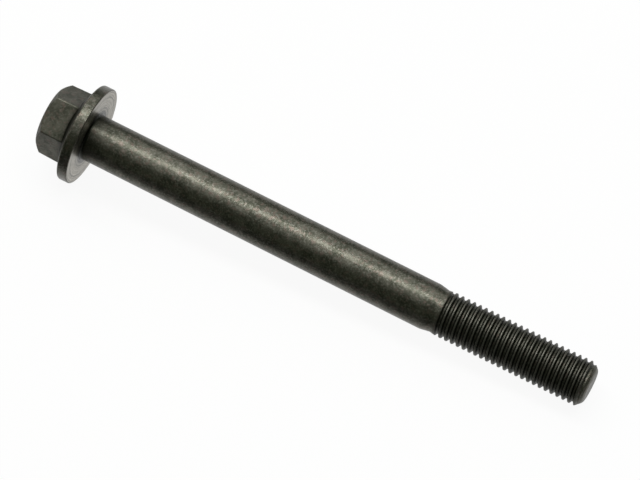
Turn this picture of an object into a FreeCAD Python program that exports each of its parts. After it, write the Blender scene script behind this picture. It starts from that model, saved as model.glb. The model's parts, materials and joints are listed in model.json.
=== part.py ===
import FreeCAD, Part
import math
import os

import Sketcher

# A one-piece hexagon bolt with a forged flange, a long plain shank and a rolled metric thread.
# It is drawn about its own upright axis: the bearing face of the flange is at height 0, the
# shank and thread rise from it and the hexagon hangs below it. Then it is laid on the floor,
# where it rests on the rim of the flange and on the last turns of the thread.

NODE = "flange_bolt"

# Driving sizes in millimetres and degrees: alias, value and meaning.
SIZES = (
    ("under_head_length", 129.9, "bearing face to the end of the point"),
    ("shank_diameter", 11.3, "plain shank"),
    ("under_head_radius", 0.6, "fillet between the shank and the bearing face"),
    ("thread_length", 38.5, "first turn of the thread to the end of the point"),
    ("thread_diameter", 11.0, "over the rolled crests"),
    ("thread_pitch", 1.5, "rise of one turn"),
    ("thread_angle", 60.0, "between the two flanks"),
    ("crest_width", 0.2, "flat on the crest"),
    ("root_width", 0.3, "flat in the root"),
    ("taper_length", 2.4, "cone from the shank down to the neck"),
    ("neck_length", 0.2, "plain neck before the first turn"),
    ("point_chamfer", 1.8, "lead cone at 45 degrees"),
    ("point_edge_radius", 0.8, "rounding where the lead cone meets the end face"),
    ("flange_diameter", 24.2, "over the rim"),
    ("rim_thickness", 2.5, "height of the rim"),
    ("rim_back_radius", 0.4, "rounding of the rim's edge towards the hexagon"),
    ("rim_seat_chamfer", 0.3, "45 degree edge of the rim beside the bearing face"),
    ("flange_slope", 24.0, "back of the flange, from the plane of the rim"),
    ("flange_tuck", 0.7, "reach of the sloping back inside the hexagon"),
    ("hex_across_flats", 15.6, "hexagon at the rim"),
    ("hex_draft", 1.5, "lean of each flat towards the top"),
    ("hex_corner_radius", 0.35, "rounding of the six corners"),
    ("head_height", 10.9, "bearing face to the top of the head"),
    ("crown_inset", 0.35, "flat to the circle of the crown, on the top"),
    ("crown_angle", 40.0, "crown chamfer, from the plane of the top"),
    ("crown_edge_radius", 0.55, "rounding between the crown and the top"),
    ("roll_angle", -124.75, "turn of the lying bolt about its own axis"),
)

# How far a cutting profile stands outside the metal, and how closely a ring matches a size.
CUT_OVERHANG = 0.2
RING_MATCH = 0.001

# Expressions that several features share, written with the aliases of the sheet.
THREAD_DEPTH = (
    "((Sizes.thread_pitch - Sizes.crest_width - Sizes.root_width) / 2"
    " / tan(Sizes.thread_angle * 1 deg / 2))"
)
CREST_RADIUS = "Sizes.thread_diameter / 2"
ROOT_RADIUS = f"({CREST_RADIUS} - {THREAD_DEPTH})"
# The blank before rolling is a little thicker than the middle of the thread.
NECK_RADIUS = f"({CREST_RADIUS} - {THREAD_DEPTH} * 0.4)"
SHANK_RADIUS = "Sizes.shank_diameter / 2"
RIM_RADIUS = "Sizes.flange_diameter / 2"
COLLAR_RADIUS = "(Sizes.hex_across_flats / 2 - Sizes.flange_tuck)"
COLLAR_HEIGHT = (
    f"(Sizes.rim_thickness + ({RIM_RADIUS} - {COLLAR_RADIUS}) * tan(Sizes.flange_slope * 1 deg))"
)
THREAD_START = "(Sizes.under_head_length - Sizes.thread_length)"
NECK_START = f"({THREAD_START} - Sizes.neck_length)"
TAPER_START = f"({NECK_START} - Sizes.taper_length)"
POINT_START = "(Sizes.under_head_length - Sizes.point_chamfer)"
CROWN_RADIUS = (
    "(Sizes.hex_across_flats / 2 - Sizes.crown_inset"
    " - (Sizes.head_height - Sizes.rim_thickness) * tan(Sizes.hex_draft * 1 deg))"
)
HEX_CORNER = "(Sizes.hex_across_flats / 2 / cos(30 deg))"
# Rise of the run-out, a little more than the root lies below the neck.
RUNOUT_RISE = f"({THREAD_DEPTH} * 0.8)"


def make_sheet(doc):
    """Writes the driving sizes into a spreadsheet, one named cell each."""
    sheet = doc.addObject("Spreadsheet::Sheet", "Sizes")
    for row, (alias, value, meaning) in enumerate(SIZES, start=1):
        sheet.set(f"A{row}", str(value))
        sheet.set(f"B{row}", meaning)
        sheet.setAlias(f"A{row}", alias)
    doc.recompute()
    return sheet


def origin_plane(body, role):
    """Returns the body's own origin plane of that role."""
    return next(plane for plane in body.Origin.OriginFeatures if plane.Role == role)


def closed_profile(body, name, corners):
    """Draws a closed outline in the plane of the axis, each corner bound to two expressions.

    A side whose ends share an expression is held level or upright instead of dimensioned twice.
    """
    sketch = body.newObject("Sketcher::SketchObject", name)
    sketch.AttachmentSupport = [(origin_plane(body, "XZ_Plane"), "")]
    sketch.MapMode = "FlatFace"
    places = [tuple(number(sketch, text) for text in corner) for corner in corners]
    count = len(corners)
    for index in range(count):
        start = FreeCAD.Vector(*places[index], 0)
        end = FreeCAD.Vector(*places[(index + 1) % count], 0)
        sketch.addGeometry(Part.LineSegment(start, end), False)
    for index in range(count):
        before = (index - 1) % count
        sketch.addConstraint(Sketcher.Constraint("Coincident", before, 2, index, 1))
        if index and corners[index][0] == corners[before][0]:
            sketch.addConstraint(Sketcher.Constraint("Vertical", before))
        else:
            bind_corner(sketch, "DistanceX", index, corners[index][0], places[index][0])
        if index and corners[index][1] == corners[before][1]:
            sketch.addConstraint(Sketcher.Constraint("Horizontal", before))
        else:
            bind_corner(sketch, "DistanceY", index, corners[index][1], places[index][1])
    return sketch


def number(item, text):
    """Works out an expression of the sheet as a plain number."""
    value = item.evalExpression(text)
    return float(getattr(value, "Value", value))


def bind_corner(sketch, kind, index, text, value):
    """Dimensions the start of one line from the sketch origin."""
    row = sketch.addConstraint(Sketcher.Constraint(kind, -1, 1, index, 1, value))
    sketch.setExpression(f"Constraints[{row}]", text)


def revolve(body, kind, name, profile):
    """Turns a profile once round the bolt's axis, as metal or as a cut."""
    turned = body.newObject(kind, name)
    turned.Profile = profile
    turned.ReferenceAxis = (profile, ["V_Axis"])
    turned.Angle = 360
    body.Document.recompute()
    return turned


def turned_blank(body):
    """Makes the flange, shank, neck and thread blank as one turned shape."""
    corners = (
        ("0", f"-{COLLAR_HEIGHT}"),
        (COLLAR_RADIUS, f"-{COLLAR_HEIGHT}"),
        (RIM_RADIUS, "-Sizes.rim_thickness"),
        (RIM_RADIUS, "0"),
        (SHANK_RADIUS, "0"),
        (SHANK_RADIUS, TAPER_START),
        (NECK_RADIUS, NECK_START),
        (NECK_RADIUS, THREAD_START),
        (CREST_RADIUS, f"{THREAD_START} + Sizes.thread_pitch"),
        (CREST_RADIUS, POINT_START),
        (f"{CREST_RADIUS} - Sizes.point_chamfer", "Sizes.under_head_length"),
        ("0", "Sizes.under_head_length"),
    )
    profile = closed_profile(body, "BlankProfile", corners)
    return revolve(body, "PartDesign::Revolution", "Blank", profile)


def rings(shape, radius, height):
    """Names the circular edges of that radius and height about the axis."""
    names = []
    for index, edge in enumerate(shape.Edges, start=1):
        curve = edge.Curve
        if not isinstance(curve, Part.Circle):
            continue
        off = max(abs(curve.Radius - radius), abs(curve.Center.z - height))
        if off < RING_MATCH:
            names.append(f"Edge{index}")
    return names


def dress_rings(body, kind, name, base, places, size):
    """Rounds or chamfers the rings of the base at the places (radius, height) by one size."""
    edges = []
    for radius, height in places:
        edges += rings(base.Shape, number(base, radius), number(base, height))
    if len(edges) != len(places):
        raise RuntimeError(f"{name}: {len(edges)} rings found for {len(places)} places")
    dressed = body.newObject(f"PartDesign::{kind}", name)
    dressed.Base = (base, edges)
    dressed.setExpression("Size" if kind == "Chamfer" else "Radius", f"Sizes.{size}")
    body.Document.recompute()
    return dressed


def dressed_blank(body, blank):
    """Rounds and chamfers the edges of the turned blank."""
    under_head = ((SHANK_RADIUS, "0"),)
    seat = ((RIM_RADIUS, "0"),)
    back = ((RIM_RADIUS, "-Sizes.rim_thickness"),)
    point = ((f"{CREST_RADIUS} - Sizes.point_chamfer", "Sizes.under_head_length"),)
    last = dress_rings(body, "Fillet", "UnderHeadFillet", blank, under_head, "under_head_radius")
    last = dress_rings(body, "Chamfer", "RimSeatEdge", last, seat, "rim_seat_chamfer")
    last = dress_rings(body, "Fillet", "RimBackEdge", last, back, "rim_back_radius")
    return dress_rings(body, "Fillet", "PointEdge", last, point, "point_edge_radius")


def hexagon(body):
    """Adds the drafted hexagon, from the plane of the rim down to the top of the head."""
    sketch = body.newObject("Sketcher::SketchObject", "HexProfile")
    sketch.AttachmentSupport = [(origin_plane(body, "XY_Plane"), "")]
    sketch.MapMode = "FlatFace"
    sketch.setExpression("AttachmentOffset.Base.z", "-Sizes.rim_thickness")
    radius = number(sketch, HEX_CORNER)
    corners = [
        FreeCAD.Vector(radius * math.cos(turn), radius * math.sin(turn), 0)
        for turn in (math.radians(60 * side) for side in range(6))
    ]
    for side in range(6):
        sketch.addGeometry(Part.LineSegment(corners[side], corners[(side + 1) % 6]), False)
    circle = Part.Circle(FreeCAD.Vector(0, 0, 0), FreeCAD.Vector(0, 0, 1), radius)
    ring = sketch.addGeometry(circle, True)
    sketch.addConstraint(Sketcher.Constraint("Coincident", ring, 3, -1, 1))
    for side in range(6):
        sketch.addConstraint(Sketcher.Constraint("Coincident", side, 2, (side + 1) % 6, 1))
        sketch.addConstraint(Sketcher.Constraint("PointOnObject", side, 1, ring))
        if side:
            sketch.addConstraint(Sketcher.Constraint("Equal", 0, side))
    sketch.addConstraint(Sketcher.Constraint("PointOnObject", 0, 1, -1))
    row = sketch.addConstraint(Sketcher.Constraint("Radius", ring, radius))
    sketch.setExpression(f"Constraints[{row}]", HEX_CORNER)
    pad = body.newObject("PartDesign::Pad", "Hexagon")
    pad.Profile = sketch
    pad.Reversed = True
    pad.setExpression("Length", "Sizes.head_height - Sizes.rim_thickness")
    body.Document.recompute()
    return pad


def drafted(body, pad):
    """Leans the six flats towards the top, about their width at the rim."""
    level = []
    upright = []
    for index, face in enumerate(pad.Shape.Faces, start=1):
        normal = face.normalAt(0, 0)
        (level if abs(normal.z) > 0.5 else upright).append((face.CenterOfMass.z, f"Face{index}"))
    draft = body.newObject("PartDesign::Draft", "HexDraft")
    draft.Base = (pad, [name for _, name in upright])
    draft.NeutralPlane = (pad, [max(level)[1]])
    draft.Reversed = True
    draft.setExpression("Angle", "Sizes.hex_draft * 1 deg")
    body.Document.recompute()
    return draft


def rounded_corners(body, base):
    """Rounds the six leaning corners of the hexagon."""
    names = []
    for index, edge in enumerate(base.Shape.Edges, start=1):
        low, high = (vertex.Point for vertex in edge.Vertexes)
        if abs(high.z - low.z) > math.hypot(high.x - low.x, high.y - low.y):
            names.append(f"Edge{index}")
    fillet = body.newObject("PartDesign::Fillet", "HexCorners")
    fillet.Base = (base, names)
    fillet.setExpression("Radius", "Sizes.hex_corner_radius")
    body.Document.recompute()
    return fillet


def crown(body):
    """Chamfers the top of the hexagon to a circle and rounds that circle's edge."""
    reach = f"({HEX_CORNER} + {CUT_OVERHANG})"
    rise = f"({reach} - {CROWN_RADIUS}) * tan(Sizes.crown_angle * 1 deg)"
    corners = (
        (CROWN_RADIUS, "-Sizes.head_height"),
        (reach, "-Sizes.head_height"),
        (reach, f"-Sizes.head_height + {rise}"),
    )
    profile = closed_profile(body, "CrownProfile", corners)
    chamfer = revolve(body, "PartDesign::Groove", "Crown", profile)
    edge = ((CROWN_RADIUS, "-Sizes.head_height"),)
    return dress_rings(body, "Fillet", "CrownEdge", chamfer, edge, "crown_edge_radius")


def thread_profile(body, name, lift, drop):
    """Draws the space between two crests, at the end of the run-out.

    lift moves it outward and drop moves it towards the head.
    """
    middle = f"({THREAD_START} + Sizes.thread_pitch - {drop})"
    half_root = "Sizes.root_width / 2"
    half_mouth = "(Sizes.thread_pitch - Sizes.crest_width) / 2"
    root = f"{ROOT_RADIUS} + {lift}"
    crest = f"{CREST_RADIUS} + {lift}"
    outside = f"{CREST_RADIUS} + {lift} + {CUT_OVERHANG}"
    corners = (
        (root, f"{middle} - {half_root}"),
        (crest, f"{middle} - {half_mouth}"),
        (outside, f"{middle} - {half_mouth}"),
        (outside, f"{middle} + {half_mouth}"),
        (crest, f"{middle} + {half_mouth}"),
        (root, f"{middle} + {half_root}"),
    )
    return closed_profile(body, name, corners)


def helical_cut(body, name, profile, height, lean):
    """Cuts a profile round the axis along a right-hand helix."""
    cut = body.newObject("PartDesign::SubtractiveHelix", name)
    cut.Profile = profile
    cut.ReferenceAxis = (profile, ["V_Axis"])
    cut.Mode = "pitch-height-angle"
    cut.setExpression("Pitch", "Sizes.thread_pitch")
    cut.setExpression("Height", height)
    cut.setExpression("Angle", lean)
    body.Document.recompute()
    return cut


def thread(body):
    """Cuts the thread at full depth past the point, and its run-out in the turn before that."""
    full_turns = "ceil(Sizes.thread_length / Sizes.thread_pitch)"
    profile = thread_profile(body, "ThreadProfile", "0", "0")
    helical_cut(body, "Thread", profile, f"{full_turns} * Sizes.thread_pitch", "0 deg")
    profile = thread_profile(body, "RunoutProfile", RUNOUT_RISE, "Sizes.thread_pitch")
    lean = f"-atan({RUNOUT_RISE} / Sizes.thread_pitch)"
    return helical_cut(body, "Runout", profile, "Sizes.thread_pitch", lean)


def check_volumes(steps):
    """Stops if a step that should add or remove metal did not."""
    for name, before, after, adds in steps:
        change = after - before
        if (change > 0) != adds or abs(change) < RING_MATCH:
            raise RuntimeError(f"{name} changed the volume by {change:.4f}")


def bolt(doc):
    """Builds the whole bolt upright and returns its body."""
    body = doc.addObject("PartDesign::Body", "Bolt")
    body.Label = NODE
    pad = hexagon(body)
    draft = drafted(body, pad)
    corners = rounded_corners(body, draft)
    top = crown(body)
    blank = turned_blank(body)
    dressed = dressed_blank(body, blank)
    last = thread(body)
    check_volumes((
        ("HexDraft", pad.Shape.Volume, draft.Shape.Volume, False),
        ("HexCorners", draft.Shape.Volume, corners.Shape.Volume, False),
        ("Crown", corners.Shape.Volume, top.Shape.Volume, False),
        ("Blank", top.Shape.Volume, blank.Shape.Volume, True),
        ("Thread", dressed.Shape.Volume, last.Shape.Volume, False),
    ))
    return body


def lay_down(body):
    """Lays the bolt along X, the point towards +X, on the rim and the end of the thread.

    The rim meets the floor where its seat chamfer begins and the thread where its lead cone
    begins, and the lean of the axis puts both on the floor.
    """
    along = number(body, f"{POINT_START} + Sizes.rim_seat_chamfer")
    across = number(body, f"{RIM_RADIUS} - {CREST_RADIUS}")
    lean = math.degrees(math.atan2(across, along))
    roll = FreeCAD.Rotation(FreeCAD.Vector(0, 0, 1), number(body, "Sizes.roll_angle"))
    turn = FreeCAD.Rotation(FreeCAD.Vector(0, 1, 0), 90 + lean).multiply(roll)
    body.Placement = FreeCAD.Placement(FreeCAD.Vector(0, 0, 0), turn)
    box = body.Shape.optimalBoundingBox()
    shift = FreeCAD.Vector(-box.Center.x, 0, -box.ZMin)
    body.Placement = FreeCAD.Placement(shift, turn)


def check_document(doc):
    """Stops if any object failed or any body is not one sound solid."""
    for item in doc.Objects:
        if "Invalid" in item.State or "Error" in item.State:
            raise RuntimeError(f"{item.Label} failed")
    for body in doc.findObjects("PartDesign::Body"):
        shape = body.Shape
        if shape.isNull() or not shape.isValid() or len(shape.Solids) != 1:
            raise RuntimeError(f"{body.Label} is not one sound solid")


def main():
    doc = FreeCAD.newDocument("FlangeBolt")
    make_sheet(doc)
    body = bolt(doc)
    lay_down(body)
    doc.recompute()
    check_document(doc)
    os.makedirs("parts", exist_ok=True)
    body.Shape.exportStep(f"parts/{body.Label}.step")
    box = body.Shape.optimalBoundingBox()
    print(f"{body.Label}: {box.XLength:.2f} x {box.YLength:.2f} x {box.ZLength:.2f} mm")
    print(f"volume {body.Shape.Volume:.1f} cubic mm, {len(body.Shape.Faces)} faces")


main()
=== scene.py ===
import json
import math

import bpy
import numpy as np
from mathutils import Matrix, Quaternion, Vector


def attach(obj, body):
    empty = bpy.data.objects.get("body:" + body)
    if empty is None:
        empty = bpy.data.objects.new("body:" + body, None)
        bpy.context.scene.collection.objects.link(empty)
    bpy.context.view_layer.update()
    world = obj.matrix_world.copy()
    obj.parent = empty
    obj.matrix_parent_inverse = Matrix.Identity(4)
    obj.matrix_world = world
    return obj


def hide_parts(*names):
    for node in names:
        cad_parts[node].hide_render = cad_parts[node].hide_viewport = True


# The dressed flange bolt: one closed mesh in the place of the CAD solid, with softened edges,
# a rolled thread that runs out on the neck, and a dark phosphate coating worn at the edges.

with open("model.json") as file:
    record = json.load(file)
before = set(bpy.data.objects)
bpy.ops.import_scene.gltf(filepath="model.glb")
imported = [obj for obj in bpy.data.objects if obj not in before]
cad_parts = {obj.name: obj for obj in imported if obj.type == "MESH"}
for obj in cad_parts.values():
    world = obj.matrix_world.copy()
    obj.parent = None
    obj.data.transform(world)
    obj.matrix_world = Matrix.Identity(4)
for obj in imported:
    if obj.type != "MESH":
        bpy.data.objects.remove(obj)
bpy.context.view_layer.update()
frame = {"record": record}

MILLIMETRE = 0.001

# Parts of a turn, in radians. The hexagon has a corner at each sixth.
SIXTH = math.pi / 3
EIGHTH = math.pi / 4
TWELFTH = math.pi / 6

# Sizes of the bolt in millimetres. Heights run along the axis from the bearing face towards the
# point, so those in the head are negative. The sizes are the solid's, apart from CREST_WIDTH,
# ROOT_WIDTH and POINT_CHAMFER, which follow the photo more closely.
UNDER_HEAD_LENGTH = 129.9
SHANK_RADIUS = 5.65
UNDER_HEAD_RADIUS = 0.6
THREAD_LENGTH = 38.5
CREST_RADIUS = 5.5
PITCH = 1.5
FLANK_SLOPE = 1 / math.tan(math.radians(30))
CREST_WIDTH = 0.3
ROOT_WIDTH = 0.42
TAPER_LENGTH = 2.4
NECK_LENGTH = 0.2
POINT_CHAMFER = 1.55
RIM_RADIUS = 12.1
RIM_THICKNESS = 2.5
FLANGE_SLOPE = math.tan(math.radians(24))
HEX_INRADIUS = 15.6 / 2
HEX_DRAFT = math.tan(math.radians(1.5))
HEAD_HEIGHT = 10.9
CROWN_INSET = 0.35
CROWN_SLOPE = math.tan(math.radians(40))

# How far the neck lies under the crests and the run-out rises, as shares of the thread's depth.
NECK_SHARE = 0.4
RUNOUT_SHARE = 0.8

# Sizes that follow from those above.
THREAD_DEPTH = (PITCH - CREST_WIDTH - ROOT_WIDTH) / 2 * FLANK_SLOPE
ROOT_RADIUS = CREST_RADIUS - THREAD_DEPTH
NECK_RADIUS = CREST_RADIUS - THREAD_DEPTH * NECK_SHARE
RUNOUT_RISE = THREAD_DEPTH * RUNOUT_SHARE
THREAD_START = UNDER_HEAD_LENGTH - THREAD_LENGTH
NECK_START = THREAD_START - NECK_LENGTH
TAPER_START = NECK_START - TAPER_LENGTH
POINT_START = UNDER_HEAD_LENGTH - POINT_CHAMFER

# The bolt's turn about its own axis, as it rests.
ROLL = math.radians(-124.75)

# Softened edges of the real part, in millimetres.
HEX_CORNER_ROUND = 0.38
CROWN_TOP_ROUND = 0.55
CROWN_FOOT_ROUND = 0.2
HEX_FOOT_ROUND = 0.35
RIM_BACK_ROUND = 0.48
RIM_SEAT_ROUND = 0.33
TAPER_START_ROUND = 3.4
TAPER_END_ROUND = 1.5
CREST_ROUND = 0.05
ROOT_ROUND = 0.1
POINT_START_ROUND = 0.08
POINT_EDGE_ROUND = 1.4

# The mesh's columns round the axis. On the head they crowd towards the corners of the hexagon:
# a sector has a corner in its middle, and the offsets are degrees to either side of it.
SIDES = 6
SECTOR = 360 / SIDES
SECTOR_OFFSETS = (0.35, 0.8, 1.2, 2.2, 4.5, 8.5, 13.5, 19.0, 24.5)
COLUMNS = SIDES * (2 * len(SECTOR_OFFSETS) + 2)

# The stretches of the outline, from the middle of the head's top to the thread: the surface
# that each belongs to, and how many parts it has.
STRETCHES = (
    ("crown", 4),
    ("crown", 1),
    ("hexagon", 5),
    ("flange_back", 1),
    ("rim", 2),
    ("seat", 6),
    ("shank", 26),
    ("shank", 1),
    ("neck", 1),
)

# Rows in a rounding, and the most that it takes of the stretch before or after it.
ARC_STEPS = 5
ARC_SHARE = 0.42

# How close the rows beside a rounding lie to it, in millimetres and as a share of the stretch.
GUARD = 0.12
GUARD_SHARE = 0.3

# Steps that find where the hexagon meets a cone.
MEETING_STEPS = 6

# The thread's rows within one turn, by distance from the middle of the root.
TURN_ROWS = (
    -0.65, -0.58, -0.42, -0.25, -0.15, -0.08, 0.0, 0.08,
    0.15, 0.25, 0.42, 0.58, 0.65, 0.7, 0.75, 0.8,
)

# Turns of rows before the thread's start and past its end, which close it.
TURNS_BEFORE = 2
TURNS_AFTER = 3

# The ring on the neck where the thread's rows begin, and how far past it they are joined to it.
FIRST_THREAD_HEIGHT = THREAD_START + 0.1
JOIN_MARGIN = 0.01

# The rounded end of the point, by distance past the lead cone. Each millimetre past its rounding
# moves END_FACE_SPEED millimetres inwards, until POLE_RADIUS is reached and the face closes.
# What is past END_FACE_START belongs to the end face.
CONE_END = UNDER_HEAD_LENGTH - POINT_EDGE_ROUND * (1 - math.cos(EIGHTH))
END_FACE_SPEED = 4.0
END_FACE_START = UNDER_HEAD_LENGTH + 0.1
POLE_RADIUS = 0.05

# A radius outside the blank, where nothing is cut.
UNCUT = 99.0


def sector_angles():
    """Angles of the columns round the head, crowded at the hexagon's corners."""
    half = list(SECTOR_OFFSETS)
    sector = [-SECTOR / 2] + [-offset for offset in reversed(half)] + [0.0] + half
    sectors = [np.array(sector) + SECTOR * side for side in range(SIDES)]
    return np.radians(np.concatenate(sectors))


def even_angles():
    """Angles of the columns round the shank and thread, evenly spaced."""
    return np.radians(np.arange(COLUMNS) * 360 / COLUMNS - SECTOR / 2)


def hexagon_radius(angle, inradius):
    """Distance from the axis to a hexagon with rounded corners."""
    from_corner = np.abs((angle + TWELFTH) % SIXTH - TWELFTH)
    centre = (inradius - HEX_CORNER_ROUND) / math.cos(TWELFTH)
    flat = inradius / np.cos(TWELFTH - from_corner)
    reach = np.maximum(HEX_CORNER_ROUND**2 - (centre * np.sin(from_corner)) ** 2, 0)
    corner = centre * np.cos(from_corner) + np.sqrt(reach)
    half_side = (inradius - HEX_CORNER_ROUND) * math.tan(TWELFTH)
    rounding_end = TWELFTH - np.arctan(half_side / inradius)
    return np.where(from_corner > rounding_end, flat, corner)


def hexagon_at(angle, height):
    """Distance from the axis to the drafted hexagon at a height in the head."""
    return hexagon_radius(angle, HEX_INRADIUS - (-height - RIM_THICKNESS) * HEX_DRAFT)


def hexagon_meets(angle, radius, height, slope):
    """Height where the hexagon meets the cone that starts at a radius and height, in each column."""
    meeting = np.full_like(angle, height)
    for _ in range(MEETING_STEPS):
        meeting = height + (hexagon_at(angle, meeting) - radius) * slope
    return meeting


def outline_corners(angle):
    """Corners of the outline from the top of the head to the thread: radius, height and rounding.

    Radius and height have a value for each column.
    """
    crown_radius = HEX_INRADIUS - CROWN_INSET - (HEAD_HEIGHT - RIM_THICKNESS) * HEX_DRAFT
    top = hexagon_meets(angle, crown_radius, -HEAD_HEIGHT, CROWN_SLOPE)
    foot = hexagon_meets(angle, RIM_RADIUS, -RIM_THICKNESS, FLANGE_SLOPE)
    corners = [
        (0.0, -HEAD_HEIGHT, 0.0),
        (crown_radius, -HEAD_HEIGHT, CROWN_TOP_ROUND),
        (hexagon_at(angle, top), top, CROWN_FOOT_ROUND),
        (hexagon_at(angle, foot), foot, HEX_FOOT_ROUND),
        (RIM_RADIUS, -RIM_THICKNESS, RIM_BACK_ROUND),
        (RIM_RADIUS, 0.0, RIM_SEAT_ROUND),
        (SHANK_RADIUS, 0.0, UNDER_HEAD_RADIUS),
        (SHANK_RADIUS, TAPER_START, TAPER_START_ROUND),
        (NECK_RADIUS, NECK_START, TAPER_END_ROUND),
        (NECK_RADIUS, FIRST_THREAD_HEIGHT, 0.0),
    ]
    columns = np.zeros_like(angle)
    return [(columns + radius, columns + height, rounding) for radius, height, rounding in corners]


def rounded_outline(corners):
    """Rounds the outline's corners and returns its rows, each with the surface after it."""
    points = [np.stack([radius, height], 1) for radius, height, _ in corners]
    rows = []
    start = points[0]
    for index, (surface, parts) in enumerate(STRETCHES):
        corner = points[index + 1]
        enter, arc, leave = corner, [], corner
        if index + 2 < len(points):
            rounding = corners[index + 1][2]
            enter, arc, leave = rounded_corner(points[index], corner, points[index + 2], rounding)
        places = stretch_rows(start, enter, parts) + arc
        rows += [(place, surface) for place in places]
        start = leave
    rows.append((start, STRETCHES[-1][0]))
    return rows


def rounded_corner(before, corner, after, radius):
    """Start, inner points and end of the rounding of one corner, in every column."""
    way_in = corner - before
    way_out = after - corner
    length_in = np.linalg.norm(way_in, axis=1, keepdims=True)
    length_out = np.linalg.norm(way_out, axis=1, keepdims=True)
    way_in = way_in / length_in
    way_out = way_out / length_out
    turn = np.arccos(np.clip((way_in * way_out).sum(1, keepdims=True), -1, 1))
    most = ARC_SHARE * np.minimum(length_in, length_out)
    reach = np.minimum(radius * np.tan(turn / 2), most)
    enter = corner - way_in * reach
    leave = corner + way_out * reach
    arc = []
    for step in range(ARC_STEPS):
        part = step / ARC_STEPS
        arc.append((1 - part) ** 2 * enter + 2 * part * (1 - part) * corner + part**2 * leave)
    return enter, arc, leave


def stretch_rows(start, end, parts):
    """Rows along a straight stretch, with one close to each end to keep its shading flat."""
    length = np.linalg.norm(end - start, axis=1, keepdims=True)
    guard = np.minimum(GUARD, GUARD_SHARE * length) / length
    rows = [start, start + (end - start) * guard]
    for step in range(1, parts):
        rows.append(start + (end - start) * step / parts)
    rows.append(end - (end - start) * guard)
    return rows


def smooth_min(first, second, blend):
    """The smaller of two, with the crossing rounded."""
    part = np.clip(0.5 + 0.5 * (second - first) / blend, 0, 1)
    return second * (1 - part) + first * part - blend * part * (1 - part)


def smooth_positive(value, blend):
    """The value where it is positive and else zero, with the bend rounded."""
    return -smooth_min(-value, np.zeros_like(value), blend)


def thread_blank(height):
    """Radius of the blank under the thread, with the rise from neck to crest and the lead cone."""
    rise = np.interp(height, [THREAD_START, THREAD_START + PITCH], [NECK_RADIUS, CREST_RADIUS])
    cone = CREST_RADIUS - (height - POINT_START)
    return smooth_min(rise, cone, POINT_START_ROUND)


def thread_radius(angle, height):
    """Radius of the rolled thread, cut into the blank along a right-hand helix."""
    turn = angle / (2 * math.pi)
    place = (height - THREAD_START) / PITCH - turn
    radius = np.full_like(place, UNCUT)
    for root in (np.floor(place), np.floor(place) + 1):
        done = root + turn
        lift = RUNOUT_RISE * np.clip(1 - done, 0, 1)
        off = np.abs(place - root) * PITCH
        flank = smooth_positive(off - ROOT_WIDTH / 2, ROOT_ROUND)
        groove = ROOT_RADIUS + lift + flank * FLANK_SLOPE
        radius = np.minimum(radius, np.where(done < 0, UNCUT, groove))
    return smooth_min(thread_blank(height), radius, CREST_ROUND)


def end_face(excess):
    """Radius and height on the rounded end of the point, by distance past the lead cone."""
    turned = np.clip(excess / (POINT_EDGE_ROUND * EIGHTH), 0, 1) * EIGHTH
    edge = CREST_RADIUS - POINT_CHAMFER - POINT_EDGE_ROUND * math.tan(EIGHTH / 2)
    radius = edge + POINT_EDGE_ROUND * np.sin(EIGHTH - turned)
    height = UNDER_HEAD_LENGTH - POINT_EDGE_ROUND * (1 - np.cos(EIGHTH - turned))
    inward = np.maximum(excess - POINT_EDGE_ROUND * EIGHTH, 0) * END_FACE_SPEED
    return np.maximum(radius - inward, 0), height


def thread_grid():
    """Helical rows of the thread, from the neck to the middle of the end face.

    Each row climbs one pitch round the bolt, so its last column joins the first of the row a
    turn higher. The columns' angles come back, and for each row and column its distance along
    the bolt, which runs on over the end face, its radius and its height.
    """
    turns = int(math.ceil((UNDER_HEAD_LENGTH - FIRST_THREAD_HEIGHT) / PITCH)) + TURNS_AFTER
    starts = [THREAD_START + PITCH * turn for turn in range(-TURNS_BEFORE, turns)]
    rows = np.concatenate([start + np.array(TURN_ROWS) for start in starts])
    angle = even_angles()[0] + 2 * math.pi * (np.arange(COLUMNS) / COLUMNS)
    along = rows[:, None] + PITCH * angle[None, :] / (2 * math.pi)
    cut_radius = thread_radius(np.broadcast_to(angle, along.shape), np.minimum(along, CONE_END))
    end_radius, end_height = end_face(np.maximum(along - CONE_END, 0))
    past = along > CONE_END
    radius = np.where(past, end_radius, cut_radius)
    height = np.where(past, end_height, along)
    return angle, along, radius, height


class MeshParts:
    """Collects vertices, faces and the surface each face belongs to."""

    def __init__(self):
        self.places = []
        self.faces = []
        self.surfaces = []

    def add(self, radius, angle, height):
        """Adds a vertex and returns its number."""
        self.places.append((radius * math.cos(angle), radius * math.sin(angle), height))
        return len(self.places) - 1

    def face(self, corners, surface):
        """Adds a face, without the corners that coincide."""
        kept = []
        for corner in corners:
            if corner not in kept:
                kept.append(corner)
        if len(kept) > 2:
            self.faces.append(kept)
            self.surfaces.append(surface)


def add_turned_rows(parts, rows):
    """Adds the rows from the top of the head to the neck, and returns the last ring.

    Over the bearing face the columns move from the head's spacing to the shank's.
    """
    seat_rows = [index for index, (_, surface) in enumerate(rows) if surface == "seat"]
    seat_length = len(seat_rows) - ARC_STEPS
    ring = [parts.add(0, 0, -HEAD_HEIGHT)] * COLUMNS
    for index in range(1, len(rows)):
        place = rows[index][0]
        share = np.clip((index - seat_rows[0]) / seat_length, 0, 1)
        angle = sector_angles() * (1 - share) + even_angles() * share
        following = [parts.add(radius, turn, height) for (radius, height), turn in zip(place, angle)]
        add_band(parts, ring, following, rows[index - 1][1])
        ring = following
    return ring


def add_band(parts, ring, following, surface):
    """Adds the faces between a ring and the one that follows it."""
    for column in range(COLUMNS):
        beside = (column + 1) % COLUMNS
        corners = (ring[column], following[column], following[beside], ring[beside])
        parts.face(corners, surface)


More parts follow.
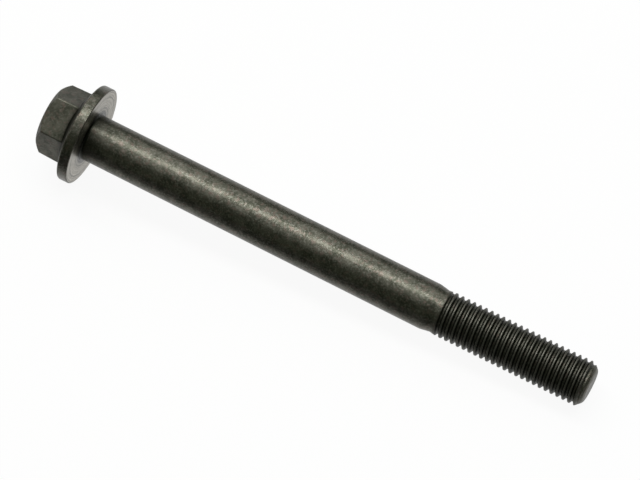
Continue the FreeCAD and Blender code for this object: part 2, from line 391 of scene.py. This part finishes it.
def thread_names(parts, ring, last, grid):
    """Numbers of the thread's vertices, by row and column.

    Before the thread they are those of the ring, and past the end face that of the last vertex.
    """
    angle, along, radius, height = grid
    names = np.full((len(along) + len(TURN_ROWS), COLUMNS), last)
    for row in range(len(along)):
        for column in range(COLUMNS):
            place = (row, column)
            if along[place] <= FIRST_THREAD_HEIGHT + JOIN_MARGIN:
                names[place] = ring[column]
            elif radius[place] > POLE_RADIUS:
                names[place] = parts.add(radius[place], angle[column], height[place])
    return names


def thread_surface(along):
    """The surface that a place on the thread's rows belongs to."""
    if along > END_FACE_START:
        return "end"
    if along < THREAD_START:
        return "neck"
    return "thread"


def add_thread(parts, ring):
    """Adds the helical rows, joined to the ring on the neck and closed at the end face."""
    grid = thread_grid()
    along = grid[1]
    last = parts.add(0, 0, UNDER_HEAD_LENGTH)
    names = thread_names(parts, ring, last, grid)
    for row in range(len(along) - 1):
        for column in range(COLUMNS):
            beside = (row, column + 1)
            if column + 1 == COLUMNS:
                beside = (row + len(TURN_ROWS), 0)
            above_beside = (beside[0] + 1, beside[1])
            places = ((row, column), (row + 1, column), above_beside, beside)
            corners = [int(names[place]) for place in places]
            parts.face(corners, thread_surface(along[row, column]))


def bolt_frame():
    """The bolt's own axes and the middle of its bearing face, in the shared frame."""
    mounts = {mount["name"]: mount for mount in frame["record"]["mounts"]}
    shank = mounts["shank"]
    axis = Vector(shank["axis"]).normalized()
    along = UNDER_HEAD_RADIUS + shank["dims"]["length_mm"] / 2
    base = Vector(shank["pos_m"]) - axis * along * MILLIMETRE
    side = Vector((0, 1, 0)).cross(axis).normalized()
    up = axis.cross(side)
    first = side * math.cos(ROLL) + up * math.sin(ROLL)
    second = up * math.cos(ROLL) - side * math.sin(ROLL)
    turn = Matrix((first, second, axis)).transposed()
    return base, turn


def bolt_parts():
    """The vertices and faces of the whole bolt, in its own axes."""
    parts = MeshParts()
    rows = rounded_outline(outline_corners(sector_angles()))
    ring = add_turned_rows(parts, rows)
    add_thread(parts, ring)
    return parts


def build_bolt(materials):
    """Builds the whole bolt as one mesh, in place."""
    parts = bolt_parts()
    local = np.array(parts.places)
    base, turn = bolt_frame()
    placed = local @ np.array(turn).T * MILLIMETRE + np.array(base)
    mesh = bpy.data.meshes.new("bolt")
    mesh.from_pydata(placed.tolist(), [], parts.faces)
    for material in materials.values():
        mesh.materials.append(material)
    numbers = {surface: number for number, surface in enumerate(materials)}
    mesh.polygons.foreach_set("material_index", [numbers[surface] for surface in parts.surfaces])
    mesh.polygons.foreach_set("use_smooth", [True] * len(mesh.polygons))
    own = mesh.attributes.new("bolt_mm", "FLOAT_VECTOR", "POINT")
    own.data.foreach_set("vector", local.astype(np.float32).ravel())
    mesh.validate()
    mesh.update()
    bolt = bpy.data.objects.new("bolt", mesh)
    bpy.context.scene.collection.objects.link(bolt)
    return bolt


class Nodes:
    """Short calls for the nodes of one material."""

    def __init__(self, name):
        self.material = bpy.data.materials.new(name)
        self.material.use_nodes = True
        self.tree = self.material.node_tree
        self.tree.nodes.clear()
        self.output = self.node("ShaderNodeOutputMaterial")

    def node(self, kind):
        """A new node."""
        return self.tree.nodes.new(kind)

    def link(self, start, end):
        """Joins two sockets."""
        self.tree.links.new(start, end)

    def put(self, value, socket):
        """Joins a socket to another one, or sets its value."""
        if isinstance(value, bpy.types.NodeSocket):
            self.link(value, socket)
        else:
            socket.default_value = value

    def math(self, operation, *values):
        """The result of one operation."""
        node = self.node("ShaderNodeMath")
        node.operation = operation
        for value, socket in zip(values, node.inputs):
            self.put(value, socket)
        return node.outputs[0]

    def ramp(self, value, span, result=(0.0, 1.0)):
        """A smooth change of the result over a span of the value."""
        node = self.node("ShaderNodeMapRange")
        node.interpolation_type = "SMOOTHSTEP"
        self.put(value, node.inputs["Value"])
        self.put(span[0], node.inputs["From Min"])
        self.put(span[1], node.inputs["From Max"])
        self.put(result[0], node.inputs["To Min"])
        self.put(result[1], node.inputs["To Max"])
        return node.outputs[0]

    def mix(self, factor, first, second):
        """A colour between two."""
        node = self.node("ShaderNodeMix")
        node.data_type = "RGBA"
        node.clamp_factor = True
        self.put(factor, node.inputs[0])
        self.put(first, node.inputs[6])
        self.put(second, node.inputs[7])
        return node.outputs[2]

    def split(self, vector):
        """The x, y and z of a vector."""
        node = self.node("ShaderNodeSeparateXYZ")
        self.link(vector, node.inputs[0])
        return node.outputs

    def glow(self, strength=1.0):
        """A white emission."""
        node = self.node("ShaderNodeEmission")
        self.put(strength, node.inputs["Strength"])
        return node.outputs[0]

    def blend(self, factor, first, second):
        """A surface between two."""
        node = self.node("ShaderNodeMixShader")
        self.put(factor, node.inputs[0])
        self.link(first, node.inputs[1])
        self.link(second, node.inputs[2])
        return node.outputs[0]


class Shader(Nodes):
    """The nodes of one surface of the bolt, which are placed by its own axes."""

    def __init__(self, name):
        super().__init__(name)
        self.bsdf = self.node("ShaderNodeBsdfPrincipled")
        self.link(self.bsdf.outputs["BSDF"], self.output.inputs["Surface"])
        place = self.node("ShaderNodeAttribute")
        place.attribute_type = "GEOMETRY"
        place.attribute_name = "bolt_mm"
        self.place = place.outputs["Vector"]

    def height(self):
        """Height along the bolt's axis."""
        return self.split(self.place)[2]

    def radius(self):
        """Distance from the bolt's axis."""
        x, y, _ = self.split(self.place)
        square = self.math("ADD", self.math("MULTIPLY", x, x), self.math("MULTIPLY", y, y))
        return self.math("SQRT", square)

    def stretched(self, factors):
        """The place on the bolt, with each axis multiplied by its own factor."""
        node = self.node("ShaderNodeVectorMath")
        node.operation = "MULTIPLY"
        self.link(self.place, node.inputs[0])
        node.inputs[1].default_value = factors
        return node.outputs[0]

    def noise_node(self, dimensions, pattern):
        """A noise with the pattern's scale, detail and roughness."""
        node = self.node("ShaderNodeTexNoise")
        node.noise_dimensions = dimensions
        for name, value in zip(("Scale", "Detail", "Roughness"), pattern):
            node.inputs[name].default_value = value
        return node

    def noise(self, pattern, vector=None):
        """A noise over the bolt."""
        node = self.noise_node("3D", pattern)
        self.link(vector or self.place, node.inputs["Vector"])
        return node.outputs["Fac"]

    def rings(self, pattern):
        """A noise that changes with the radius only."""
        node = self.noise_node("1D", pattern)
        self.link(self.radius(), node.inputs["W"])
        return node.outputs["Fac"]

    def bump(self, height, depth_mm, normal=None):
        """The normal of a relief, on top of another one."""
        node = self.node("ShaderNodeBump")
        node.inputs["Strength"].default_value = 1.0
        node.inputs["Distance"].default_value = depth_mm * MILLIMETRE
        self.put(height, node.inputs["Height"])
        if normal is not None:
            self.link(normal, node.inputs["Normal"])
        return node.outputs["Normal"]


# Colours of the coating, in linear light.
COAT = (0.100, 0.098, 0.078, 1)
COAT_DARK = (0.050, 0.052, 0.038, 1)
COAT_BROWN = (0.118, 0.094, 0.078, 1)
COAT_WORN = (0.26, 0.255, 0.225, 1)
SEAT_WORN = (0.40, 0.375, 0.315, 1)
# Near-black for painted shade on the thread's flanks, under the head, at the hexagon's foot, round
# the hexagon on the flange and beside the shank. It also darkens the thread's coat and the rim.
SHADE_AND_DARKER_COAT = (0.011, 0.012, 0.008, 1)
METALLIC = 0.9

# Roughness of each surface, and how strong its grain is.
FINISHES = {
    "crown": (0.45, 1.0),
    "hexagon": (0.4, 0.5),
    "flange_back": (0.45, 1.0),
    "rim": (0.28, 0.9),
    "seat": (0.28, 0.8),
    "shank": (0.33, 0.85),
    "neck": (0.42, 1.0),
    "thread": (0.44, 1.0),
    "end": (0.4, 1.0),
}

# Patterns: repeats in a millimetre, detail and roughness of the noise.
PATCHES = (0.35, 3.0, 0.6)
GRAINS = (2.0, 2.0, 0.6)
CRYSTALS = (6.0, 2.0, 0.6)
TINT = (1.1, 2.0, 0.5)
MARKS = (1.0, 2.0, 0.5)
SEAT_RINGS = (2.2, 3.0, 0.5)
SEAT_PATCHES = (0.8, 3.0, 0.65)

# Marks run round the shank and along the hexagon, so they are stretched that way.
SHANK_MARKS_STRETCH = (0.25, 0.25, 3.0)
HEXAGON_MARKS_STRETCH = (3.0, 3.0, 0.3)

# Depths of the relief, in millimetres.
GRAIN_DEPTH = 0.022
CRYSTAL_DEPTH = 0.015
SHANK_MARKS_DEPTH = 0.01
HEXAGON_MARKS_DEPTH = 0.008
SEAT_RINGS_DEPTH = 0.02

# Spans of a pattern's value over which its effect grows, and how strong the effect is.
PATCHES_SPAN = (0.35, 0.65)
TINT_SPAN = (0.5, 0.68)
TINT_EFFECT = 0.8
GRAINS_SPAN = (0.45, 0.72)
GRAINS_EFFECT = 0.45
CRYSTALS_SPAN = (0.3, 0.7)
CRYSTALS_ROUGHER = 0.08
CRYSTALS_SMOOTHER = 0.06
SEAT_WORN_SPAN = (0.48, 0.76)
SEAT_PATCHES_EFFECT = 0.25
RIM_DARKER = 0.15

# Spans of radius or height, in millimetres, over which a tone changes.
SHANK_SHADE_SPAN = (0.0, 9.0)
SHANK_SHADE = 0.6
# Crests, roots, point and run-out keep the coat's tone. The thread's flanks between them get painted
# shade.
CREST_SPAN = (CREST_RADIUS - 0.3, CREST_RADIUS - 0.06)
ROOT_SPAN = (ROOT_RADIUS + 0.2, ROOT_RADIUS + 0.04)
POINT_SPAN = (POINT_START - 0.1, POINT_START + 0.4)
RUNOUT_SPAN = (THREAD_START + PITCH, THREAD_START + 0.3)
CREST_RUBBED_SPAN = (CREST_RADIUS - 0.12, CREST_RADIUS - 0.02)
CREST_RUBBED = 0.2
# How far the thread's coat is darkened, less at the point and run-out.
THREAD_DARKENED = 0.5
ENDS_DARKENED = 0.1
POINT_WORN_SPAN = (UNDER_HEAD_LENGTH - 0.6, UNDER_HEAD_LENGTH - 0.1)
POINT_WORN = 0.6
# Painted shade at the hexagon's foot, next to the flange.
HEXAGON_FOOT_SPAN = (-RIM_THICKNESS - 3.2, -RIM_THICKNESS - 1.2)
HEXAGON_FOOT_SHADE = 0.7
# Painted shade on the flange's back, close to the hexagon.
FLANGE_BACK_UNSHADED_SPAN = (HEX_INRADIUS + 1.2, RIM_RADIUS + 0.3)
# Painted shade on the bearing face, close to the shank.
SEAT_UNSHADED_SPAN = (SHANK_RADIUS + 0.25, SHANK_RADIUS + 2.4)

# The polished corners of the hexagon: their angle from the corner, and what they change.
CORNER_SPAN = (0.036, 0.018)
CORNER_ROUGHER = 0.03
CORNER_PALER = 0.05


def coated(surface):
    """The phosphate coating: soft patches, a brown tint in places, pale grains and fine crystals."""
    roughness, grain = FINISHES[surface]
    shader = Shader(f"{surface}_coating")
    grains = shader.noise(GRAINS)
    crystals = shader.noise(CRYSTALS)
    patchy = shader.ramp(shader.noise(PATCHES), PATCHES_SPAN)
    tinted = shader.ramp(shader.noise(TINT), TINT_SPAN, (0.0, TINT_EFFECT))
    grainy = shader.ramp(grains, GRAINS_SPAN, (0.0, GRAINS_EFFECT * grain))
    colour = shader.mix(patchy, COAT_DARK, COAT)
    colour = shader.mix(tinted, colour, COAT_BROWN)
    shader.colour = shader.mix(grainy, colour, COAT_WORN)
    rough_and_smooth = (roughness + CRYSTALS_ROUGHER, roughness - CRYSTALS_SMOOTHER)
    shader.roughness = shader.ramp(crystals, CRYSTALS_SPAN, rough_and_smooth)
    grain_normal = shader.bump(grains, GRAIN_DEPTH * grain)
    shader.normal = shader.bump(crystals, CRYSTAL_DEPTH * grain, grain_normal)
    shader.bsdf.inputs["Metallic"].default_value = METALLIC
    return shader


def finished(shader):
    """Joins the coating's colour, roughness and relief to its surface."""
    shader.put(shader.colour, shader.bsdf.inputs["Base Color"])
    shader.put(shader.roughness, shader.bsdf.inputs["Roughness"])
    shader.link(shader.normal, shader.bsdf.inputs["Normal"])
    return shader.material


def shank_material():
    """Ground shank: faint grinding marks round the axis, and shade under the head."""
    shader = coated("shank")
    shade = shader.ramp(shader.height(), SHANK_SHADE_SPAN, (SHANK_SHADE, 0.0))
    shader.colour = shader.mix(shade, shader.colour, SHADE_AND_DARKER_COAT)
    marks = shader.noise(MARKS, shader.stretched(SHANK_MARKS_STRETCH))
    shader.normal = shader.bump(marks, SHANK_MARKS_DEPTH, shader.normal)
    return finished(shader)


def thread_material():
    """Rolled thread: flanks painted nearly black as shade between paler roots and crests, and a worn
    point.
    """
    shader = coated("thread")
    radius = shader.radius()
    height = shader.height()
    crest = shader.ramp(radius, CREST_SPAN)
    root = shader.ramp(radius, ROOT_SPAN)
    point = shader.ramp(height, POINT_SPAN)
    runout = shader.ramp(height, RUNOUT_SPAN)
    ends = shader.math("MAXIMUM", point, runout)
    # Painted shade: the flanks between crests and roots turn nearly black, but the crests, roots,
    # point and run-out do not.
    unshaded = shader.math("MAXIMUM", shader.math("MAXIMUM", crest, root), ends)
    darkening = shader.ramp(ends, (0.0, 1.0), (THREAD_DARKENED, ENDS_DARKENED))
    darkened = shader.mix(darkening, shader.colour, SHADE_AND_DARKER_COAT)
    rubbed = shader.ramp(radius, CREST_RUBBED_SPAN, (0.0, CREST_RUBBED))
    worn = shader.mix(rubbed, darkened, COAT_WORN)
    edge = shader.ramp(height, POINT_WORN_SPAN, (0.0, POINT_WORN))
    shader.colour = shader.mix(edge, shader.mix(unshaded, SHADE_AND_DARKER_COAT, worn), COAT_WORN)
    return finished(shader)


def polished_corners(shader):
    """Where the hexagon's corners are: 1 at a corner and 0 on the flats."""
    x, y, _ = shader.split(shader.place)
    angle = shader.math("ADD", shader.math("ARCTAN2", y, x), TWELFTH + 2 * math.pi)
    from_corner = shader.math("SUBTRACT", shader.math("MODULO", angle, SIXTH), TWELFTH)
    return shader.ramp(shader.math("ABSOLUTE", from_corner), CORNER_SPAN)


def hexagon_material():
    """Forged hexagon: faint drag marks along the axis, polished corners and painted shade at its
    foot.
    """
    shader = coated("hexagon")
    marks = shader.noise(MARKS, shader.stretched(HEXAGON_MARKS_STRETCH))
    shader.normal = shader.bump(marks, HEXAGON_MARKS_DEPTH, shader.normal)
    polished = polished_corners(shader)
    rougher = shader.math("MULTIPLY", polished, CORNER_ROUGHER)
    shader.roughness = shader.math("ADD", shader.roughness, rougher)
    paler = shader.math("MULTIPLY", polished, CORNER_PALER)
    shader.colour = shader.mix(paler, shader.colour, COAT_WORN)
    # Painted shade: the hexagon darkens towards the flange, in the corner where the two meet.
    foot = shader.ramp(shader.height(), HEXAGON_FOOT_SPAN, (0.0, HEXAGON_FOOT_SHADE))
    shader.colour = shader.mix(foot, shader.colour, SHADE_AND_DARKER_COAT)
    return finished(shader)


def flange_back_material():
    """The flange's sloping back, with painted shade in the corner round the hexagon."""
    shader = coated("flange_back")
    # Painted shade: near-black close to the hexagon, fading out towards the rim.
    unshaded = shader.ramp(shader.radius(), FLANGE_BACK_UNSHADED_SPAN)
    shader.colour = shader.mix(unshaded, SHADE_AND_DARKER_COAT, shader.colour)
    return finished(shader)


def rim_material():
    """Turned rim of the flange: smoother than what is forged, and a little darker."""
    shader = coated("rim")
    shader.colour = shader.mix(RIM_DARKER, shader.colour, SHADE_AND_DARKER_COAT)
    return finished(shader)


def seat_material():
    """Bearing face: fine turned rings, pale where it is worn, and painted shade beside the shank."""
    shader = coated("seat")
    rings = shader.rings(SEAT_RINGS)
    patches = shader.math("MULTIPLY", shader.noise(SEAT_PATCHES), SEAT_PATCHES_EFFECT)
    worn = shader.ramp(shader.math("ADD", rings, patches), SEAT_WORN_SPAN)
    shader.colour = shader.mix(worn, shader.colour, SEAT_WORN)
    # Painted shade: the face turns near-black close to the shank.
    unshaded = shader.ramp(shader.radius(), SEAT_UNSHADED_SPAN)
    shader.colour = shader.mix(unshaded, SHADE_AND_DARKER_COAT, shader.colour)
    shader.normal = shader.bump(rings, SEAT_RINGS_DEPTH, shader.normal)
    return finished(shader)


def bolt_materials():
    """One material for each surface of the bolt."""
    return {
        "crown": finished(coated("crown")),
        "hexagon": hexagon_material(),
        "flange_back": flange_back_material(),
        "rim": rim_material(),
        "seat": seat_material(),
        "shank": shank_material(),
        "neck": finished(coated("neck")),
        "thread": thread_material(),
        "end": finished(coated("end")),
    }


# The camera, in metres, with its lens in millimetres.
CAMERA_PLACE = Vector((0.210902, -0.424804, 0.849292))
CAMERA_TARGET = Vector((-0.000874, 0.00312, 0.008))
CAMERA_LENS = 236.25
CAMERA_ROLL = math.radians(1.95)
CAMERA_NEAREST = 0.01
CAMERA_FARTHEST = 50

# The floor, in metres and linear light, and how much of what the camera sees of it is plain white.
FLOOR_SIZE = 12.0
FLOOR_COLOUR = (0.9, 0.9, 0.9, 1)
FLOOR_SHOWN_WHITE = 0.93

# What the metal mirrors of the floor: pale beside the bolt and dim in front of it. The change
# follows y plus FLOOR_DIM_SLANT times x, because the bolt lies a little askew to the x axis.
FLOOR_MIRRORED_NEAR = 0.85
FLOOR_MIRRORED_FRONT = 0.12
FLOOR_DIM_FROM = -0.009
FLOOR_DIM_TO = -0.027
FLOOR_DIM_SLANT = -0.1

# The world's light, and the lamps: direction from the bolt, distance and size in metres, and
# radiance.
WORLD_COLOUR = (0.10, 0.116, 0.08, 1)
KEY_LIGHT = {"direction": (-0.16, 0.215, 0.95), "distance": 0.8, "size": (1.2, 0.22), "radiance": 6.3}
BACK_LIGHT = {"direction": (-0.2, 0.7, 0.68), "distance": 1.2, "size": (1.6, 0.8), "radiance": 1.3}
FRONT_LIGHT = {"direction": (-0.1, -0.2, 0.97), "distance": 1.5, "size": (1.2, 1.0), "radiance": 0.75}


def floor_material():
    """A pale floor, nearly white for the camera, and pale to dim in what the metal mirrors."""
    nodes = Nodes("floor")
    lit = nodes.node("ShaderNodeBsdfDiffuse")
    lit.inputs["Color"].default_value = FLOOR_COLOUR
    rays = nodes.node("ShaderNodeLightPath").outputs
    shown = nodes.math("MULTIPLY", rays["Is Camera Ray"], FLOOR_SHOWN_WHITE)
    seen = nodes.blend(shown, lit.outputs[0], nodes.glow())
    x, y, _ = nodes.split(nodes.node("ShaderNodeNewGeometry").outputs["Position"])
    across = nodes.math("MULTIPLY_ADD", x, FLOOR_DIM_SLANT, y)
    far_to_near = (FLOOR_MIRRORED_FRONT, FLOOR_MIRRORED_NEAR)
    pale = nodes.ramp(across, (FLOOR_DIM_TO, FLOOR_DIM_FROM), far_to_near)
    mirrored = nodes.math("MAXIMUM", rays["Is Glossy Ray"], rays["Is Transmission Ray"])
    whole = nodes.blend(mirrored, seen, nodes.glow(pale))
    nodes.link(whole, nodes.output.inputs["Surface"])
    return nodes.material


def add_floor():
    """A flat floor under the bolt."""
    half = FLOOR_SIZE / 2
    corners = [(-half, -half, 0), (half, -half, 0), (half, half, 0), (-half, half, 0)]
    mesh = bpy.data.meshes.new("floor")
    mesh.from_pydata(corners, [], [(0, 1, 2, 3)])
    mesh.materials.append(floor_material())
    floor = bpy.data.objects.new("floor", mesh)
    bpy.context.scene.collection.objects.link(floor)


def add_light(name, direction, distance, size, radiance):
    """A soft rectangular lamp that faces the bolt, its length along the bolt."""
    lamp = bpy.data.lights.new(name, "AREA")
    lamp.shape = "RECTANGLE"
    lamp.size = size[0]
    lamp.size_y = size[1]
    lamp.energy = radiance * math.pi * size[0] * size[1]
    outward = Vector(direction).normalized()
    across = outward.cross(Vector((1, 0, 0))).normalized()
    axes = Matrix((across.cross(outward), across, outward)).transposed()
    holder = bpy.data.objects.new(name, lamp)
    holder.location = outward * distance
    holder.rotation_euler = axes.to_euler()
    bpy.context.scene.collection.objects.link(holder)


def add_world():
    """The even light from all round."""
    world = bpy.data.worlds.new("studio")
    world.use_nodes = True
    world.node_tree.nodes["Background"].inputs["Color"].default_value = WORLD_COLOUR
    bpy.context.scene.world = world


def add_camera():
    """The camera, which sees the bolt as in the photo, and the Standard view transform."""
    camera = bpy.data.cameras.new("camera")
    camera.lens = CAMERA_LENS
    camera.clip_start = CAMERA_NEAREST
    camera.clip_end = CAMERA_FARTHEST
    holder = bpy.data.objects.new("camera", camera)
    holder.location = CAMERA_PLACE
    level = (CAMERA_TARGET - CAMERA_PLACE).to_track_quat("-Z", "Y")
    holder.rotation_euler = (level @ Quaternion((0, 0, 1), CAMERA_ROLL)).to_euler()
    bpy.context.scene.collection.objects.link(holder)
    bpy.context.scene.camera = holder
    bpy.context.scene.view_settings.view_transform = "Standard"


def add_studio():
    """Floor, lamps, world and camera."""
    add_floor()
    add_light("key", **KEY_LIGHT)
    add_light("back", **BACK_LIGHT)
    add_light("front", **FRONT_LIGHT)
    add_world()
    add_camera()


bolt = build_bolt(bolt_materials())
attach(bolt, "root")
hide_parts("flange_bolt")
add_studio()
